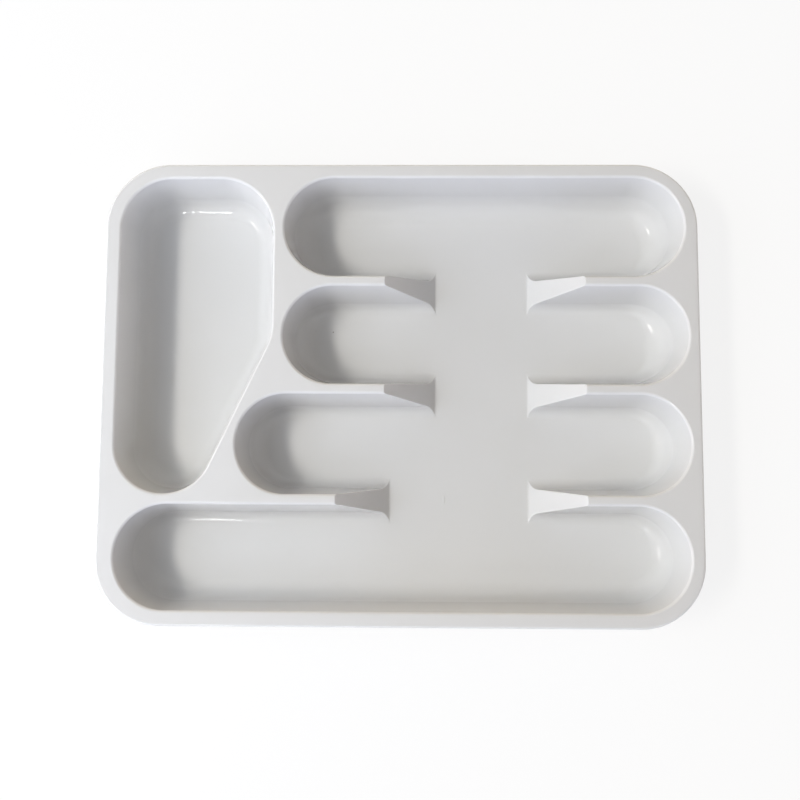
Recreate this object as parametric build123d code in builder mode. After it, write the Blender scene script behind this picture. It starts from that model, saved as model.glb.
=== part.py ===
from build123d import *
from collections import namedtuple
import math
import os

# Cutlery tray, one injection moulding. Its regions are modelled as separate solids that meet face
# to face: the rim, the deck, the tall compartment, the two ends of each of the four rows, the
# channel that crosses them, and the ramps at the ends of the dividers.
# Frame: +X to the right, +Y to the rear, +Z up. The origin is the middle of the footprint, on the
# surface that the tray stands on. Lengths are in millimetres and angles in degrees.

# Whole tray
tray_length = 390.0
tray_height = 45.0
corner_radius = 42.0

# Thicknesses and roundings of the moulding
wall = 2.0
floor_thickness = 2.0
deck_thickness = 2.2
draft_angle = 7.5
floor_round = 13.0
edge_round = 1.8

# Rim turned down around the deck
rim_flange = 3.0
rim_lip_wall = 2.0
rim_lip_height = 9.0
rim_round = 1.7

# Deck left between the compartments, and between them and the tray's edge
rear_rim = 9.0
front_rim = 9.8
inner_row_end_rim = 7.2
outer_row_end_rim = 8.8
front_row_left_rim = 11.7
divider_width = 6.4
rear_rows_gap = 6.9
third_row_gap = 10.5

# Rows, from the rear of the tray to its front
rear_row_width = 66.3
second_row_width = 65.0
third_row_width = 65.4
front_row_width = 67.8

# Channel across the rows, at the second row's middle, and the ramps that the dividers end in
channel_width = 63.6
front_channel_step = 31.0
ramp_run = 33.8

# Tall compartment at the left, whose right side slants inwards towards the front
tall_side_rim = 9.9
tall_rear_rim = 9.6
tall_width = 101.2
tall_front_radius = 32.2
tall_rear_left_radius = 33.5
tall_rear_right_radius = 36.0
tall_knee_radius = 30.0
tall_slant_angle = 25.2

# Sizes that follow from the ones above
row_names = ["rear_row", "second_row", "third_row", "front_row"]
row_widths = [rear_row_width, second_row_width, third_row_width, front_row_width]
tray_width = rear_rim + sum(row_widths) + (len(row_widths) - 1) * divider_width + front_rim
deck_underside = tray_height - deck_thickness
ramp_rise = tray_height - floor_thickness

# Middle lines of the rows
row_ys = []
rear_edge = tray_width / 2 - rear_rim
for width in row_widths:
    row_ys.append(rear_edge - width / 2)
    rear_edge = rear_edge - width - divider_width

# Mouth of the tall compartment, whose slanted side leaves the round front on a tangent
lean = math.radians(tall_slant_angle)
tall_left_x = -tray_length / 2 + tall_side_rim
tall_right_x = tall_left_x + tall_width
tall_rear_y = tray_width / 2 - tall_rear_rim
tall_front_y = row_ys[2] - third_row_width / 2
slant_start_x = tall_left_x + tall_front_radius * (1 + math.cos(lean))
slant_start_y = tall_front_y + tall_front_radius * (1 - math.sin(lean))
slant_x_at_third_row = slant_start_x + (row_ys[2] - slant_start_y) * math.tan(lean)

# Places of the rows on the deck: the middle of each slot, and its length and width there
row_left_ends = [
    tall_right_x + rear_rows_gap,
    tall_right_x + rear_rows_gap,
    slant_x_at_third_row + third_row_gap,
    -tray_length / 2 + front_row_left_rim,
]
row_right_rims = [outer_row_end_rim, inner_row_end_rim, inner_row_end_rim, outer_row_end_rim]
Row = namedtuple("Row", "name x y length width")
rows = []
for name, y, width, left, rim_width in zip(row_names, row_ys, row_widths, row_left_ends, row_right_rims):
    right = tray_length / 2 - rim_width
    rows.append(Row(name, (left + right) / 2, y, right - left, width))
rear_row, second_row, third_row, front_row = rows

# Channel and the feet of its ramps
channel_middle_x = second_row.x
left_foot_x = channel_middle_x - channel_width / 2
right_foot_x = channel_middle_x + channel_width / 2
front_left_foot_x = left_foot_x - front_channel_step


def drafted_block(plan, growth, bottom):
    """A plan on the deck's top, drawn down to a level with drafted sides and a rounded foot."""
    with BuildPart() as block:
        add(plan)
        extrude(amount=bottom - tray_height, taper=draft_angle)
        foot = block.faces().sort_by(Axis.Z)[0]
        fillet(foot.edges(), floor_round + growth)
    return block.part


def row_plan(row, growth):
    """The slot that a row makes in the deck, grown outwards by the thickness of its wall."""
    with BuildSketch(Plane.XY.offset(tray_height)) as plan:
        with Locations((row.x, row.y)):
            SlotOverall(row.length + 2 * growth, row.width + 2 * growth)
    return plan.sketch


def tall_plan(growth):
    """The tall compartment's mouth, grown outwards: straight sides, a slant and a round front."""
    left = tall_left_x - growth
    right = tall_right_x + growth
    rear = tall_rear_y + growth
    front = tall_front_y - growth
    radius = tall_front_radius + growth
    middle = (left + radius, front + radius)
    with BuildSketch(Plane.XY.offset(tray_height)) as plan:
        with BuildLine():
            front_arc = CenterArc(middle, radius, 180, 180 - tall_slant_angle)
            slant_start = front_arc @ 1
            rise = (right - slant_start.X) / math.tan(lean)
            knee = (right, slant_start.Y + rise)
            Line(slant_start, knee)
            Line(knee, (right, rear))
            Line((right, rear), (left, rear))
            Line((left, rear), front_arc @ 0)
        make_face()
        corners = plan.vertices()
        fillet(corners.sort_by_distance((*knee, tray_height))[0], tall_knee_radius + growth)
        corners = plan.vertices()
        rear_right = corners.sort_by_distance((right, rear, tray_height))[0]
        fillet(rear_right, tall_rear_right_radius + growth)
        corners = plan.vertices()
        rear_left = corners.sort_by_distance((left, rear, tray_height))[0]
        fillet(rear_left, tall_rear_left_radius + growth)
    return plan.sketch


def divider_gap(left_foot, right_foot, behind, ahead):
    """The space of the channel where it crosses a divider, between two ramps facing each other."""
    section = Plane(origin=(0, behind.y, 0), x_dir=(1, 0, 0), z_dir=(0, -1, 0))
    with BuildPart() as gap:
        with BuildSketch(section):
            with BuildLine():
                Polyline(
                    (left_foot, floor_thickness),
                    (right_foot, floor_thickness),
                    (right_foot + ramp_run, tray_height),
                    (left_foot - ramp_run, tray_height),
                    close=True,
                )
            make_face()
        extrude(amount=behind.y - ahead.y)
    return gap.part


# Spaces of the rows and of the tall compartment, and the same grown by the wall
row_spaces = [drafted_block(row_plan(row, 0), 0, floor_thickness) for row in rows]
row_outsides = [drafted_block(row_plan(row, wall), wall, 0) for row in rows]
tall_space = drafted_block(tall_plan(0), 0, floor_thickness)
tall_outside = drafted_block(tall_plan(wall), wall, 0)

# Spaces where the channel crosses the three dividers, from the rear to the front
left_feet = [left_foot_x, left_foot_x, front_left_foot_x]
divider_gaps = [
    divider_gap(left_feet[i], right_foot_x, rows[i], rows[i + 1]) for i in range(len(rows) - 1)
]

# Ground plan of the channel's floor, as high as the walls go
with BuildPart() as channel_region:
    with BuildSketch():
        with Locations((channel_middle_x, 0)):
            Rectangle(channel_width, tray_width)
        with Locations((left_foot_x, third_row.y)):
            Rectangle(front_channel_step, tray_width / 2 + third_row.y, align=(Align.MAX, Align.MAX))
    extrude(amount=deck_underside)


def row_end(row, space, outside, keep):
    """One end of a row, left or right of the channel: its floor, side walls and round end wall."""
    with BuildPart() as trough:
        add(outside)
        split(bisect_by=Plane.XY.offset(deck_underside), keep=Keep.BOTTOM)
        add(space, mode=Mode.SUBTRACT)
        for gap in divider_gaps:
            add(gap, mode=Mode.SUBTRACT)
        add(channel_region.part, mode=Mode.SUBTRACT)
        split(bisect_by=Plane.YZ.offset(channel_middle_x), keep=keep)
    return trough.part


def ramp(foot_x, way, behind, ahead):
    """The sloped end of a divider, rising from the channel's floor to the deck."""
    slope = math.atan2(ramp_rise, ramp_run)
    level_thickness = wall / math.sin(slope)
    run_to_deck = ramp_run * (deck_underside - floor_thickness) / ramp_rise
    run_under_floor = ramp_run * floor_thickness / ramp_rise
    section = Plane(origin=(0, behind.y, 0), x_dir=(1, 0, 0), z_dir=(0, -1, 0))
    with BuildPart() as plate:
        with BuildSketch(section):
            with BuildLine():
                Polyline(
                    (foot_x, 0),
                    (foot_x, floor_thickness),
                    (foot_x + way * run_to_deck, deck_underside),
                    (foot_x + way * (run_to_deck + level_thickness), deck_underside),
                    (foot_x + way * (level_thickness - run_under_floor), 0),
                    close=True,
                )
            make_face()
        extrude(amount=behind.y - ahead.y)
        add(row_outsides[rows.index(behind)], mode=Mode.SUBTRACT)
        add(row_outsides[rows.index(ahead)], mode=Mode.SUBTRACT)
    return plate.part


parts = {}

# Rim: a narrow flange around the deck and the lip that is turned down from it
with BuildPart() as rim:
    with BuildSketch(Plane.XY.offset(tray_height - rim_lip_height)):
        RectangleRounded(tray_length, tray_width, corner_radius)
        offset(amount=-rim_lip_wall, mode=Mode.SUBTRACT)
    extrude(amount=rim_lip_height)
    with BuildSketch(Plane.XY.offset(deck_underside)):
        RectangleRounded(tray_length, tray_width, corner_radius)
        offset(amount=-rim_flange, mode=Mode.SUBTRACT)
    extrude(amount=deck_thickness)
    rim_top = rim.faces().sort_by(Axis.Z)[-1]
    fillet(rim_top.outer_wire().edges(), rim_round)
parts["rim"] = rim.part

# Deck: the flat top inside the rim, open over every compartment
with BuildPart() as deck:
    with BuildSketch(Plane.XY.offset(deck_underside)):
        RectangleRounded(
            tray_length - 2 * rim_flange, tray_width - 2 * rim_flange, corner_radius - rim_flange
        )
    extrude(amount=deck_thickness)
    for space in row_spaces + divider_gaps + [tall_space]:
        add(space, mode=Mode.SUBTRACT)
    mouths = deck.faces().sort_by(Axis.Z)[-1].inner_wires().sort_by(SortBy.LENGTH)
    fillet(mouths[0].edges(), edge_round)
    mouths = deck.faces().sort_by(Axis.Z)[-1].inner_wires().sort_by(SortBy.LENGTH)
    fillet(mouths[-1].edges().filter_by(Axis.Y, reverse=True), edge_round)
parts["deck"] = deck.part

# Tall compartment: one tub of its own
with BuildPart() as tall_compartment:
    add(tall_outside)
    split(bisect_by=Plane.XY.offset(deck_underside), keep=Keep.BOTTOM)
    add(tall_space, mode=Mode.SUBTRACT)
parts["tall_compartment"] = tall_compartment.part

# Rows: a left and a right end each
for row, space, outside in zip(rows, row_spaces, row_outsides):
    parts[row.name + "_left_end"] = row_end(row, space, outside, Keep.BOTTOM)
    parts[row.name + "_right_end"] = row_end(row, space, outside, Keep.TOP)

# Channel: the floor across all four rows, with the tray's rear and front walls beside it
with BuildPart() as cross_channel:
    for outside in row_outsides:
        add(outside)
    with BuildSketch():
        with Locations((right_foot_x, front_row.y)):
            Rectangle(
                right_foot_x - front_left_foot_x,
                rear_row.y - front_row.y,
                align=(Align.MAX, Align.MIN),
            )
    extrude(amount=floor_thickness)
    add(channel_region.part, mode=Mode.INTERSECT)
    for space in row_spaces + divider_gaps:
        add(space, mode=Mode.SUBTRACT)
parts["cross_channel"] = cross_channel.part

# Ramps: one at each side of the channel on each divider
divider_names = ["rear_divider", "middle_divider", "front_divider"]
for i, name in enumerate(divider_names):
    parts[name + "_left_ramp"] = ramp(left_feet[i], -1, rows[i], rows[i + 1])
    parts[name + "_right_ramp"] = ramp(right_foot_x, 1, rows[i], rows[i + 1])

os.makedirs("parts", exist_ok=True)
for name, part in parts.items():
    part.label = name
    export_step(part, "parts/" + name + ".step")
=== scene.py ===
import math

import bmesh
import bpy
from mathutils import Matrix, Vector


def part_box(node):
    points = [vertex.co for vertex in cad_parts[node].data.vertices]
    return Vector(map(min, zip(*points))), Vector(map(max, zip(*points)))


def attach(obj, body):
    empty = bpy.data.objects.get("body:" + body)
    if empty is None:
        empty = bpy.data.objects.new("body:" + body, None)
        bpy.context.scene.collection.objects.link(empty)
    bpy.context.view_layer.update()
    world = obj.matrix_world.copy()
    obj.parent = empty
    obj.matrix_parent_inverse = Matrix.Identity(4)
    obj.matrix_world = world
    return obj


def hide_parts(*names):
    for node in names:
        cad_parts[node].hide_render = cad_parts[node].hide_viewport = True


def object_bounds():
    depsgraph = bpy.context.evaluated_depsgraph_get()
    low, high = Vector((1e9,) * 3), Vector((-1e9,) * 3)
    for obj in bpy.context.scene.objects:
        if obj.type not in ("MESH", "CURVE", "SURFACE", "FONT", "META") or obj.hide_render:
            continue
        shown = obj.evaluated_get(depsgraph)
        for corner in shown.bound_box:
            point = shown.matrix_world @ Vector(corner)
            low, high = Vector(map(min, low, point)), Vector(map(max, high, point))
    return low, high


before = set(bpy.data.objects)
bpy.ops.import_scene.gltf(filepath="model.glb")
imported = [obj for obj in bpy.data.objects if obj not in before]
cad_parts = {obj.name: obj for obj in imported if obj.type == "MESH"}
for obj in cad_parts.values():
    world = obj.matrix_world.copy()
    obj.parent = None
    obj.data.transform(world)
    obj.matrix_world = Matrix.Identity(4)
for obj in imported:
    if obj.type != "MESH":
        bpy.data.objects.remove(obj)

cad_low, cad_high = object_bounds()
scene = bpy.context.scene
scene.view_settings.view_transform = "Standard"
millimetre = 0.001


# Camera. It looks almost straight down from about seventy centimetres above the tray, from a
# little in front of its middle, and leans a few degrees to the rear.
camera_data = bpy.data.cameras.new("camera")
camera_data.sensor_width = 36
camera_data.lens = 47.0
camera = bpy.data.objects.new("camera", camera_data)
camera.location = (0.0139, -0.0792, 0.7169)
camera.rotation_euler = (math.radians(6.215), math.radians(1.118), math.radians(0.339))
scene.collection.objects.link(camera)
scene.camera = camera


# Floor. A plain white table top that the tray stands on. The camera and reflections see it
# almost pure white, and it keeps a faint part of the tray's shadow.
floor_size = 12.0
floor_gap = 0.02 * millimetre
floor_colour = "EFEFEF"
shadow_share = 0.16


def linear(colour):
    """An sRGB colour, written as six hex digits, as the linear colour that Blender mixes."""
    shares = [int(colour[i:i + 2], 16) / 255 for i in (0, 2, 4)]
    levels = [s / 12.92 if s <= 0.04045 else ((s + 0.055) / 1.055) ** 2.4 for s in shares]
    return (*levels, 1)


def add_node(tree, kind, settings=None, **links):
    """Adds a node, with its settings by name and its inputs by name or by number, as in i0."""
    node = tree.nodes.new(kind)
    for key, value in (settings or {}).items():
        setattr(node, key, value)
    for key, value in links.items():
        numbered = key[0] == "i" and key[1:].isdigit()
        socket = node.inputs[int(key[1:]) if numbered else key]
        if isinstance(value, bpy.types.NodeSocket):
            tree.links.new(value, socket)
        else:
            socket.default_value = value
    return node


def seen_directly(tree):
    """1 where the camera, a reflection or a view through the surface sees it, otherwise 0."""
    path = add_node(tree, "ShaderNodeLightPath")
    either = add_node(
        tree, "ShaderNodeMath", {"operation": "MAXIMUM"},
        i0=path.outputs["Is Camera Ray"], i1=path.outputs["Is Glossy Ray"],
    )
    seen = add_node(
        tree, "ShaderNodeMath", {"operation": "MAXIMUM"},
        i0=either.outputs[0], i1=path.outputs["Is Transmission Ray"],
    )
    return seen.outputs[0]


floor_mesh = bpy.data.meshes.new("floor")
bm = bmesh.new()
bmesh.ops.create_grid(bm, x_segments=1, y_segments=1, size=floor_size / 2)
bmesh.ops.translate(bm, verts=bm.verts, vec=(0, 0, cad_low.z - floor_gap))
bm.to_mesh(floor_mesh)
bm.free()
floor = bpy.data.objects.new("floor", floor_mesh)
scene.collection.objects.link(floor)

floor_material = bpy.data.materials.new("white table top")
floor_material.use_nodes = True
tree = floor_material.node_tree
tree.nodes.clear()
white = add_node(tree, "ShaderNodeEmission", Strength=1.0)
matt = add_node(tree, "ShaderNodeBsdfDiffuse", Color=linear(floor_colour))
bright = add_node(
    tree, "ShaderNodeMath", {"operation": "MULTIPLY"}, i0=seen_directly(tree), i1=1 - shadow_share
)
mixed = add_node(
    tree, "ShaderNodeMixShader", i0=bright.outputs[0], i1=matt.outputs[0], i2=white.outputs[0]
)
add_node(tree, "ShaderNodeOutputMaterial", Surface=mixed.outputs[0])
floor.data.materials.append(floor_material)


# Light. A wide soft box stands high up on the left, five metres away, and gives the shadows their
# edges. A slit of a window beside it and a narrow lamp in front make the glints. Dim panels at
# the left and the right and a room that is pale near its floor, cool in front and warm behind,
# fill the shadows.


def lamp(name, place, size, colour, power, glints):
    """A rectangular lamp that faces the tray, with its size across and up. Only some lamps make
    glints, because the plastic would mirror all their edges."""
    data = bpy.data.lights.new(name, "AREA")
    data.shape = "RECTANGLE"
    data.size, data.size_y = size
    data.color = linear(colour)[:3]
    data.energy = power
    body = bpy.data.objects.new(name, data)
    body.location = place
    body.rotation_euler = Vector(place).to_track_quat("Z", "Y").to_euler()
    body.visible_glossy = glints
    scene.collection.objects.link(body)


def sky_place(distance, bearing, elevation):
    """A place at this distance from the tray's middle, with its bearing from +X in degrees."""
    bearing, elevation = math.radians(bearing), math.radians(elevation)
    level = distance * math.cos(elevation)
    return level * math.cos(bearing), level * math.sin(bearing), distance * math.sin(elevation)


lamp("soft box", sky_place(5.0, 190.5, 53.5), (2.16, 0.55), "FFFBF2", 112.0, False)
lamp("slit window", sky_place(4.9, 190.5, 53.5), (1.2, 0.24), "FFFBF2", 15.0, True)
lamp("narrow lamp", sky_place(2.5, 247, 53), (0.12, 0.40), "FFFFFF", 2.2, True)
lamp("left panel", (-0.60, -0.25, 0.42), (0.9, 0.6), "E8F0FF", 2.5, False)
lamp("upper left panel", (-0.60, 0.05, 0.70), (0.6, 0.6), "E9F3FF", 2.4, False)
lamp("right panel", (0.70, 0.0, 1.20), (0.8, 0.8), "FFF2DD", 1.0, False)

front_colour = "E2E8FF"
rear_colour = "C6B18A"
room_strength = 2.65
room_fall_off = 2.0

world = bpy.data.worlds.new("room")
scene.world = world
world.use_nodes = True
tree = world.node_tree
tree.nodes.clear()
way = add_node(tree, "ShaderNodeTexCoord")
axes = add_node(tree, "ShaderNodeSeparateXYZ", Vector=way.outputs["Generated"])
frontwards = add_node(
    tree, "ShaderNodeMapRange", i0=axes.outputs["Y"], i1=-1.0, i2=1.0, i3=1.0, i4=0.0
)
room_colour = add_node(
    tree, "ShaderNodeMix", {"data_type": "RGBA"},
    i0=frontwards.outputs["Result"], i6=linear(rear_colour), i7=linear(front_colour),
)
lowness = add_node(
    tree, "ShaderNodeMath", {"operation": "SUBTRACT", "use_clamp": True},
    i0=1.0, i1=axes.outputs["Z"],
)
glow = add_node(
    tree, "ShaderNodeMath", {"operation": "POWER"}, i0=lowness.outputs[0], i1=room_fall_off
)
low_light = add_node(
    tree, "ShaderNodeMath", {"operation": "MULTIPLY"}, i0=glow.outputs[0], i1=room_strength
)
room = add_node(
    tree, "ShaderNodeBackground", Color=room_colour.outputs[2], Strength=low_light.outputs[0]
)
backdrop = add_node(tree, "ShaderNodeBackground", Color=(1, 1, 1, 1), Strength=1.0)
mixed = add_node(
    tree, "ShaderNodeMixShader",
    i0=seen_directly(tree), i1=room.outputs[0], i2=backdrop.outputs[0],
)
add_node(tree, "ShaderNodeOutputWorld", Surface=mixed.outputs[0])


# Rows. Four round-ended troughs lie across the tray. Each has a flat floor that runs into its
# walls in a rounding, tight beside the dividers and wide at the ends and the tray's outer walls.
# The walls lean outwards so that the moulding leaves its mould.
draft = math.radians(7.5)
wall = 2.0 * millimetre
floor_thickness = 2.0 * millimetre
deck_thickness = 2.2 * millimetre
divider_rounding = 8.0 * millimetre
rear_wall_rounding = 17.0 * millimetre
front_wall_rounding = 14.0 * millimetre
rear_rows_end_rounding = 18.0 * millimetre
front_rows_end_rounding = 13.0 * millimetre
mouth_rounding = 2.0 * millimetre
above_deck = 3.0 * millimetre
hair = 0.03 * millimetre
merge_distance = hair / 10
steps_per_half_turn = 64
foot_steps = 14
mouth_steps = 6
deck_top = cad_high.z
deck_underside = deck_top - deck_thickness


def arc(middle, radius, start, end, steps):
    """Points of an arc in a section, given as distance outwards and height."""
    points = []
    for i in range(steps + 1):
        angle = start + (end - start) * i / steps
        points.append((middle[0] + radius * math.cos(angle), middle[1] + radius * math.sin(angle)))
    return points


def wall_foot(outset, floor_level, rounding):
    """Section of a wall's foot, from the flat floor round to the wall. The wall's line passes
    the mouth's outline at this outset, at the height of the deck."""
    lean = (deck_top - floor_level) * math.tan(draft)
    reach = lean + rounding * math.tan(math.pi / 4 - draft / 2)
    middle = (outset - reach, floor_level + rounding)
    return arc(middle, rounding, -math.pi / 2, -draft, foot_steps)


def inner_section(rounding):
    """Section of a compartment's inside: floor rounding, wall and rounded mouth. The mouth's
    rounding ends a hair above the deck, so that it cuts the deck in a clean line."""
    reach = mouth_rounding * math.tan(math.pi / 4 - draft / 2)
    middle = (reach, deck_top - mouth_rounding + hair)
    mouth = arc(middle, mouth_rounding, math.pi - draft, math.pi / 2, mouth_steps)
    foot = wall_foot(0, floor_thickness, rounding)
    return foot + mouth + [(reach, deck_top + above_deck)]


def outer_section(rounding):
    """Section of a compartment's outside: foot and wall, up into the deck."""
    top = deck_top - deck_thickness / 2
    top_point = (wall - (deck_top - top) * math.tan(draft), top)
    return wall_foot(wall, 0, rounding + wall) + [top_point]


def ring_of(bm, section, place, heading):
    """Points of a section that stands across the outline at this place and heading."""
    outwards = Vector((math.sin(heading), -math.cos(heading), 0))
    return [bm.verts.new(place + outwards * u + Vector((0, 0, z))) for u, z in section]


def swept_body(name, section_at, start, heading, moves):
    """A closed body made by carrying a section round an outline: each move goes straight ahead
    by a length and then turns left on a radius by an angle. The section changes with the heading,
    which a spin can't do, so its rings are joined here. The open ends are closed flat."""
    bm = bmesh.new()
    place = Vector((start[0], start[1], 0))
    rings = [ring_of(bm, section_at(heading), place, heading)]
    for length, radius, turn in moves:
        place = place + Vector((math.cos(heading), math.sin(heading), 0)) * length
        middle = place + Vector((-math.sin(heading), math.cos(heading), 0)) * radius
        steps = max(2, round(steps_per_half_turn * turn / math.pi))
        for i in range(steps + 1):
            turned = turn * i / steps
            spot = middle + Matrix.Rotation(turned, 3, "Z") @ (place - middle)
            rings.append(ring_of(bm, section_at(heading + turned), spot, heading + turned))
        heading += turn
        place = spot
    for ring, following in zip(rings, rings[1:]):
        for i in range(len(ring) - 1):
            bm.faces.new((ring[i], following[i], following[i + 1], ring[i + 1]))
    bmesh.ops.remove_doubles(bm, verts=bm.verts, dist=merge_distance)
    bmesh.ops.holes_fill(bm, edges=bm.edges, sides=0)
    bmesh.ops.recalc_face_normals(bm, faces=bm.faces)
    mesh = bpy.data.meshes.new(name)
    bm.to_mesh(mesh)
    bm.free()
    return bpy.data.objects.new(name, mesh)


def row_mouth(name):
    """Outline of a row's mouth, from the boxes of its two ends."""
    left_low, left_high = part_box(name + "_left_end")
    right_low, right_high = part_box(name + "_right_end")
    outset = wall - deck_thickness * math.tan(draft)
    radius = (left_high.y - left_low.y) / 2 - outset
    middle_y = (left_high.y + left_low.y) / 2
    left = left_low.x + outset
    right = right_high.x - outset
    return left, right, middle_y, radius


def row_body(name, section, at_front, at_ends, at_rear):
    """A row's inside or outside, with its floor rounding along its front, ends and rear."""
    left, right, middle_y, radius = row_mouth(name)
    straight = right - left - 2 * radius

    def section_at(heading):
        side = at_front if math.cos(heading) > 0 else at_rear
        return section(side + (at_ends - side) * math.sin(heading) ** 2)

    moves = [(straight, radius, math.pi)] * 2
    return swept_body(name, section_at, (left + radius, middle_y - radius), 0, moves)


row_names = ["rear_row", "second_row", "third_row", "front_row"]
row_roundings = [
    (divider_rounding, rear_rows_end_rounding, rear_wall_rounding),
    (divider_rounding, rear_rows_end_rounding, divider_rounding),
    (divider_rounding, front_rows_end_rounding, divider_rounding),
    (front_wall_rounding, front_rows_end_rounding, divider_rounding),
]
rows = list(zip(row_names, row_roundings))
spaces = [row_body(name, inner_section, *roundings) for name, roundings in rows]
outsides = [row_body(name, outer_section, *roundings) for name, roundings in rows]


# Tall compartment. One large tub at the left for ladles and spatulas. Its right side slants
# inwards towards a round front, and its other corners are rounded too.
tall_front_radius = 32.2 * millimetre
tall_rear_left_radius = 33.5 * millimetre
tall_rear_right_radius = 36.0 * millimetre
tall_knee_radius = 30.0 * millimetre
tall_slant = math.radians(25.2)
tall_rounding = 13.0 * millimetre


def tall_body(section):
    low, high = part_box("tall_compartment")
    outset = wall - deck_thickness * math.tan(draft)
    left, front = low.x + outset, low.y + outset
    right, rear = high.x - outset, high.y - outset
    slant_start_x = left + tall_front_radius * (1 + math.cos(tall_slant))
    slant_start_y = front + tall_front_radius * (1 - math.sin(tall_slant))
    slant_length = (right - slant_start_x) / math.sin(tall_slant)
    knee_y = slant_start_y + slant_length * math.cos(tall_slant)
    knee_reach = tall_knee_radius * math.tan(tall_slant / 2)
    left_length = rear - tall_rear_left_radius - front - tall_front_radius
    right_length = rear - tall_rear_right_radius - knee_y - knee_reach
    rear_length = right - left - tall_rear_right_radius - tall_rear_left_radius
    quarter = math.pi / 2
    moves = [
        (left_length, tall_front_radius, math.pi - tall_slant),
        (slant_length - knee_reach, tall_knee_radius, tall_slant),
        (right_length, tall_rear_right_radius, quarter),
        (rear_length, tall_rear_left_radius, quarter),
    ]
    start = (left, rear - tall_rear_left_radius)
    return swept_body("tall", lambda heading: section(tall_rounding), start, -quarter, moves)


spaces.append(tall_body(inner_section))
outsides.append(tall_body(outer_section))


# Rim and deck. A flat top joins all the compartments, and its outer edge turns down in a lip
# that stiffens the tray and rests on nothing.
corner_radius = 42.0 * millimetre
lip_wall = 2.0 * millimetre
rim_rounding = 1.7 * millimetre
rim_steps = 6
lip_edge_rounding = 0.6 * millimetre
lip_edge_steps = 4
lip_inner_rounding = 1.0 * millimetre
deck_edge_width = 6.0 * millimetre
lip_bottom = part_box("rim")[0].z

edge_height = lip_bottom + lip_edge_rounding
inner_corner = (-lip_wall - lip_inner_rounding, deck_underside - lip_inner_rounding)
section = [(-deck_edge_width, deck_top)]
section += arc((-rim_rounding, deck_top - rim_rounding), rim_rounding, math.pi / 2, 0, rim_steps)
section += arc(
    (-lip_edge_rounding, edge_height), lip_edge_rounding, 0, -math.pi / 2, lip_edge_steps
)
section += arc(
    (-lip_wall + lip_edge_rounding, edge_height),
    lip_edge_rounding, -math.pi / 2, -math.pi, lip_edge_steps,
)
section += arc(inner_corner, lip_inner_rounding, 0, math.pi / 2, lip_edge_steps)
section += [(-deck_edge_width, deck_underside)]
rim_moves = [
    (cad_high.x - cad_low.x - 2 * corner_radius, corner_radius, math.pi / 2),
    (cad_high.y - cad_low.y - 2 * corner_radius, corner_radius, math.pi / 2),
] * 2
rim_start = (cad_low.x + corner_radius, cad_low.y)
tray = swept_body("tray_moulding", lambda heading: section, rim_start, 0, rim_moves)


# Finger channel. It crosses all four rows at floor level, so that a hand can lift the cutlery
# out, and each divider ends in two flat ramps that run down to it.
ramp_run = 33.8 * millimetre
ramp_foot_rounding = 2.5 * millimetre
ramp_top_rounding = 1.2 * millimetre
ramp_rounding_steps = 4
ramp_steps = 16
ramp_rise = deck_top - floor_thickness
ramp_slope = math.atan2(ramp_rise, ramp_run)


def bar_across(name, left_side, right_side, behind_y, ahead_y):
    """A bar with this section, lying across the tray from one row's middle to the next one's."""
    bm = bmesh.new()
    outline = left_side[::-1] + right_side
    face = bm.faces.new([bm.verts.new((x, behind_y, z)) for x, z in outline])
    new = bmesh.ops.extrude_face_region(bm, geom=[face])["geom"]
    moved = [part for part in new if isinstance(part, bmesh.types.BMVert)]
    bmesh.ops.translate(bm, verts=moved, vec=(0, ahead_y - behind_y, 0))
    bmesh.ops.recalc_face_normals(bm, faces=bm.faces)
    mesh = bpy.data.meshes.new(name)
    bm.to_mesh(mesh)
    bm.free()
    return bpy.data.objects.new(name, mesh)


def inner_side(foot_x, way):
    """Section of a ramp's face: rounded foot, slope in even steps and rounded top, and on above
    the deck."""
    foot_reach = ramp_foot_rounding * math.tan(ramp_slope / 2)
    foot = arc(
        (-foot_reach, floor_thickness + ramp_foot_rounding),
        ramp_foot_rounding, -math.pi / 2, -math.pi / 2 + ramp_slope, ramp_rounding_steps,
    )
    top_reach = ramp_top_rounding * math.tan(ramp_slope / 2)
    top = arc(
        (ramp_run + top_reach, deck_top - ramp_top_rounding + hair),
        ramp_top_rounding, math.pi / 2 + ramp_slope, math.pi / 2, ramp_rounding_steps,
    )
    low, high = Vector(foot[-1]), Vector(top[0])
    slope = [tuple(low.lerp(high, i / ramp_steps)) for i in range(1, ramp_steps)]
    points = foot + slope + top + [(ramp_run + top_reach, deck_top + above_deck)]
    return [(foot_x + way * u, z) for u, z in points]


def outer_side(foot_x, way):
    """Section of a ramp's underside, a wall's thickness behind its face."""
    thickness = wall / math.sin(ramp_slope)
    foot = foot_x + way * (thickness - ramp_run * floor_thickness / ramp_rise)
    top = deck_top - deck_thickness / 2
    return [(foot, 0), (foot + way * ramp_run * top / ramp_rise, top)]


divider_names = ["rear_divider", "middle_divider", "front_divider"]
ramp_feet = set()
for i, name in enumerate(divider_names):
    left_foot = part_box(name + "_left_ramp")[1].x
    right_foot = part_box(name + "_right_ramp")[0].x
    behind_y = row_mouth(row_names[i])[2]
    ahead_y = row_mouth(row_names[i + 1])[2]
    ramp_feet.update([(left_foot, -1), (right_foot, 1)])
    sides = inner_side(left_foot, -1), inner_side(right_foot, 1)
    spaces.append(bar_across(name, *sides, behind_y, ahead_y))
    sides = outer_side(left_foot, -1), outer_side(right_foot, 1)
    outsides.append(bar_across(name, *sides, behind_y, ahead_y))


# Gate mark. The plastic entered the mould through a narrow slot under the channel's floor, and
# left a low ridge there when it was cut off.
gate_place = 29.65 * millimetre, -69.8 * millimetre
gate_length = 5.8 * millimetre
gate_width = 1.6 * millimetre
gate_height = 0.35 * millimetre

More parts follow.
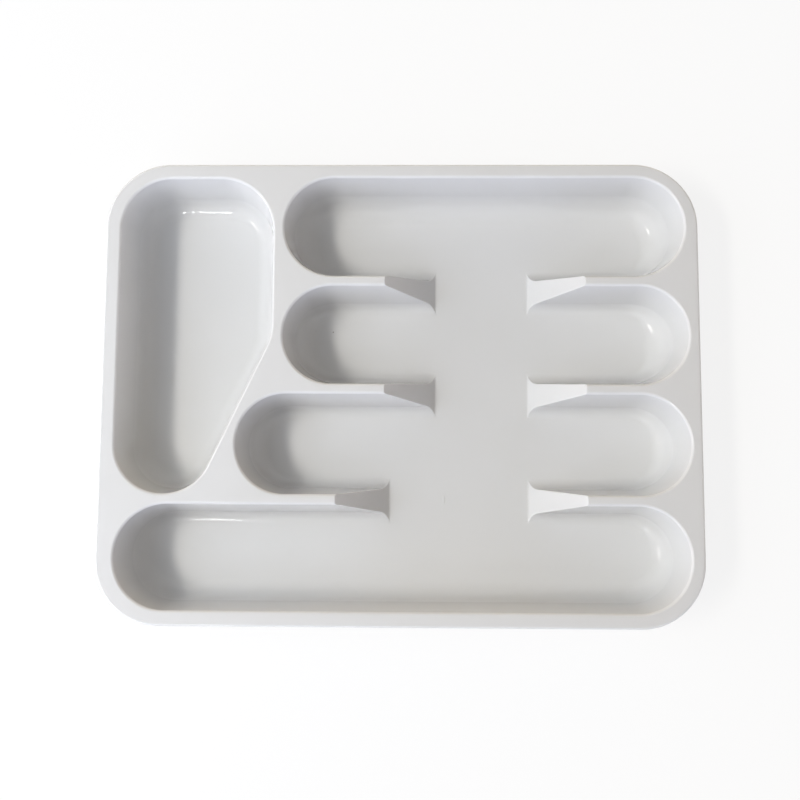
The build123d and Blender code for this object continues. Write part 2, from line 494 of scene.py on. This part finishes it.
bm = bmesh.new()
bmesh.ops.create_uvsphere(bm, u_segments=32, v_segments=16, radius=1)
bmesh.ops.scale(bm, verts=bm.verts, vec=(gate_width / 2, gate_length / 2, gate_height))
bmesh.ops.translate(bm, verts=bm.verts, vec=(*gate_place, floor_thickness))
gate_mesh = bpy.data.meshes.new("gate_mark")
bm.to_mesh(gate_mesh)
bm.free()
gate = bpy.data.objects.new("gate_mark", gate_mesh)


# Joined moulding. The tray is one injection moulding of polystyrene, so the outsides are joined
# to the deck and the insides are cut from them, and the result is one closed skin.
ramp_side_width = 0.6 * millimetre
ramp_side_steps = 4
cross_cut_step = 3.0 * millimetre
cross_cuts_per_ramp = 12
foot_taper = 2.2 * millimetre, 8.0 * millimetre
top_taper = 43.0 * millimetre, 36.0 * millimetre
level_enough = 0.01
tilted_enough = 0.04
sharp_angle = math.radians(35)


def rise(value, start, end):
    """0 at the start, 1 at the end, and smooth between them."""
    share = min(max((value - start) / (end - start), 0), 1)
    return share * share * (3 - 2 * share)


def ramp_side_weight(edge, ramp, side):
    """How much of the full rounding an edge takes: all of it between a ramp and a row's wall,
    less towards the floor and the deck, and none on any other edge."""
    slopes_along = abs(ramp.normal.x) > tilted_enough and ramp.normal.z > tilted_enough
    is_ramp = slopes_along and abs(ramp.normal.y) < level_enough
    is_side = abs(side.normal.x) < level_enough and abs(side.normal.y) > tilted_enough
    if not (is_ramp and is_side):
        return 0
    height = (edge.verts[0].co.z + edge.verts[1].co.z) / 2
    return rise(height, *foot_taper) * rise(height, *top_taper)


def in_collection(name, bodies):
    group = bpy.data.collections.new(name)
    scene.collection.children.link(group)
    for body in bodies:
        group.objects.link(body)
    return group


scene.collection.objects.link(tray)
operations = [
    ("outsides", "UNION", outsides),
    ("spaces", "DIFFERENCE", spaces),
    ("gate", "UNION", [gate]),
]
for name, operation, bodies in operations:
    cut = tray.modifiers.new(name, "BOOLEAN")
    cut.operation = operation
    cut.operand_type = "COLLECTION"
    cut.collection = in_collection(name, bodies)
    cut.solver = "EXACT"
joined = bpy.data.meshes.new_from_object(tray.evaluated_get(bpy.context.evaluated_depsgraph_get()))
tray.modifiers.clear()
tray.data = joined
for body in spaces + outsides + [gate]:
    bpy.data.objects.remove(body)

bm = bmesh.new()
bm.from_mesh(joined)
bmesh.ops.remove_doubles(bm, verts=bm.verts, dist=merge_distance)
bmesh.ops.dissolve_degenerate(bm, edges=bm.edges, dist=merge_distance)
bmesh.ops.recalc_face_normals(bm, faces=bm.faces)
weights = bm.edges.layers.float.new("bevel_weight_edge")
for edge in bm.edges:
    one, other = edge.link_faces
    edge[weights] = max(ramp_side_weight(edge, one, other), ramp_side_weight(edge, other, one))
bm.to_mesh(joined)
bm.free()

rounding = tray.modifiers.new("ramp sides", "BEVEL")
rounding.limit_method = "WEIGHT"
rounding.offset_type = "OFFSET"
rounding.width = ramp_side_width
rounding.segments = ramp_side_steps
rounding.use_clamp_overlap = False
rounded = bpy.data.meshes.new_from_object(tray.evaluated_get(bpy.context.evaluated_depsgraph_get()))
tray.modifiers.clear()
tray.data = rounded
bm = bmesh.new()
bm.from_mesh(rounded)
bmesh.ops.remove_doubles(bm, verts=bm.verts, dist=merge_distance)
bmesh.ops.dissolve_degenerate(bm, edges=bm.edges, dist=merge_distance)
# The faces beside the ramps are long and thin and would shade in streaks. Cuts across the tray
# make them short.
cross_cuts = set()
for foot_x, way in ramp_feet:
    cross_cuts.update(foot_x + way * cross_cut_step * i for i in range(1, cross_cuts_per_ramp + 1))
for cut_x in sorted(cross_cuts):
    bmesh.ops.bisect_plane(
        bm, geom=bm.verts[:] + bm.edges[:] + bm.faces[:], dist=merge_distance,
        plane_co=(cut_x, 0, 0), plane_no=(1, 0, 0),
    )
bm.to_mesh(rounded)
bm.free()
for polygon in rounded.polygons:
    polygon.use_smooth = True
rounded.set_sharp_from_angle(angle=sharp_angle)
weighted = tray.modifiers.new("even shading", "WEIGHTED_NORMAL")
weighted.keep_sharp = True

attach(tray, "root")
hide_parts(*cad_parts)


# Moulded high-impact polystyrene, with titanium white in it. Light goes a millimetre or so into
# it, so that thin walls glow and edges are soft. The polished mould gave it a gloss that handling
# has dulled in smudges, and its skin is slightly wavy where it shrank from the mould.
plastic_colour = "D9D9D9"
cloud_colour = "D5D5D4"
speck_colour = "8C8880"
polystyrene_ior = 1.59
light_depth = 1.2 * millimetre
cloud_width = 60.0 * millimetre
smudge_width = 12.0 * millimetre
gloss_best, gloss_worst = 0.04, 0.08
clean_below, smudged_above = 0.35, 0.75
wave_width, wave_height = 22.0 * millimetre, 0.03 * millimetre
peel_width, peel_height = 3.0 * millimetre, 0.001 * millimetre
specks = [(-59.2 * millimetre, 46.5 * millimetre), (-47.1 * millimetre, 45.7 * millimetre)]
speck_radius = 0.35 * millimetre

polystyrene = bpy.data.materials.new("moulded high-impact polystyrene")
polystyrene.use_nodes = True
tree = polystyrene.node_tree
tree.nodes.clear()
place = add_node(tree, "ShaderNodeTexCoord").outputs["Object"]

clouds = add_node(
    tree, "ShaderNodeTexNoise", {"noise_dimensions": "3D"},
    Vector=place, Scale=1 / cloud_width, Detail=2.0,
)
shade = add_node(
    tree, "ShaderNodeMix", {"data_type": "RGBA"},
    i0=clouds.outputs["Fac"], i6=linear(plastic_colour), i7=linear(cloud_colour),
)
colour = shade.outputs[2]
for x, y in specks:
    away = add_node(
        tree, "ShaderNodeVectorMath", {"operation": "DISTANCE"}, i0=place, i1=(x, y, floor_thickness)
    )
    speck = add_node(
        tree, "ShaderNodeMapRange", {"interpolation_type": "SMOOTHSTEP"},
        i0=away.outputs["Value"], i1=speck_radius / 2, i2=2 * speck_radius, i3=1.0, i4=0.0,
    )
    spotted = add_node(
        tree, "ShaderNodeMix", {"data_type": "RGBA"},
        i0=speck.outputs["Result"], i6=colour, i7=linear(speck_colour),
    )
    colour = spotted.outputs[2]

smudges = add_node(
    tree, "ShaderNodeTexNoise", {"noise_dimensions": "3D"},
    Vector=place, Scale=1 / smudge_width, Detail=3.0,
)
gloss = add_node(
    tree, "ShaderNodeMapRange",
    i0=smudges.outputs["Fac"], i1=clean_below, i2=smudged_above, i3=gloss_best, i4=gloss_worst,
)

waves = add_node(
    tree, "ShaderNodeTexNoise", {"noise_dimensions": "3D"},
    Vector=place, Scale=1 / wave_width, Detail=0.0,
)
wavy = add_node(
    tree, "ShaderNodeBump", Strength=1.0, Distance=wave_height, Height=waves.outputs["Fac"]
)
peel = add_node(
    tree, "ShaderNodeTexNoise", {"noise_dimensions": "3D"},
    Vector=place, Scale=1 / peel_width, Detail=1.0,
)
skin = add_node(
    tree, "ShaderNodeBump",
    Strength=1.0, Distance=peel_height, Height=peel.outputs["Fac"], Normal=wavy.outputs["Normal"],
)

surface = add_node(
    tree, "ShaderNodeBsdfPrincipled",
    **{"Base Color": colour, "Roughness": gloss.outputs["Result"], "Normal": skin.outputs["Normal"]},
)
surface.inputs["IOR"].default_value = polystyrene_ior
surface.inputs["Subsurface Weight"].default_value = 1.0
surface.inputs["Subsurface Radius"].default_value = (1.0, 1.0, 1.0)
surface.inputs["Subsurface Scale"].default_value = light_depth
add_node(tree, "ShaderNodeOutputMaterial", Surface=surface.outputs[0])
tray.data.materials.clear()
tray.data.materials.append(polystyrene)
